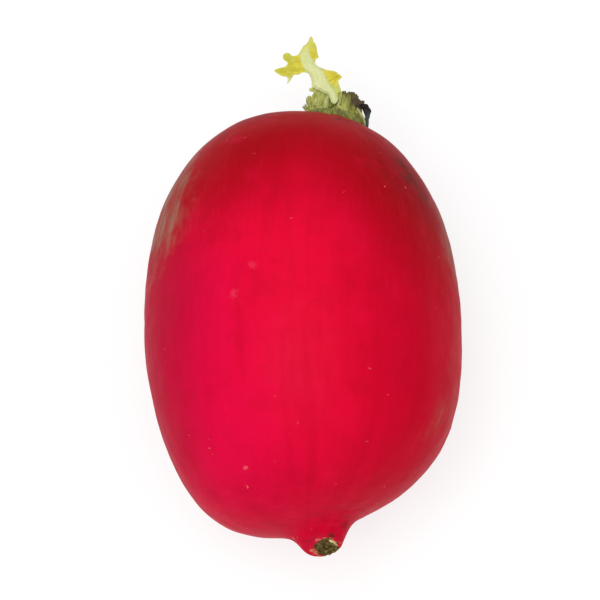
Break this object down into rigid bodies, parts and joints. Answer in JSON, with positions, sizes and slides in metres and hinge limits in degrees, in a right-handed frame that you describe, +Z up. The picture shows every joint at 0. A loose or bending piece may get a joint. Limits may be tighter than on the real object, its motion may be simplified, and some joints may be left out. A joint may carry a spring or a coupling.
{
  "type": "radish",
  "caption": "Oval red radish with a trimmed tail, cut leaf stalks round its crown and a small yellow leaf sprouting from them.",
  "frame": {"origin": "middle of the whole part's box seen from above, at the level that it rests on", "axes": "+Y along the root towards the crown, +Z up, +X to the right seen from above with the crown ahead"},
  "size_m": [0.0451, 0.0772, 0.0444],
  "materials": {
    "radish_skin": "thin waxy skin, softly shining, crimson to dark red",
    "cut_stalk": "dull fibrous olive green, brown at the cuts",
    "withered_stalk": "dry, wrinkled, nearly black",
    "young_leaf": "tender pale rib and yellow blades, softly shining",
    "heart_leaf": "tender yellow-green, softly shining"
  },
  "bodies": {
    "root": {"root": "radish_skin", "leaf_stubs": "cut_stalk", "dried_stalk": "withered_stalk", "young_leaf": "young_leaf", "heart_leaves": "heart_leaf"}
  },
  "joints": []
}
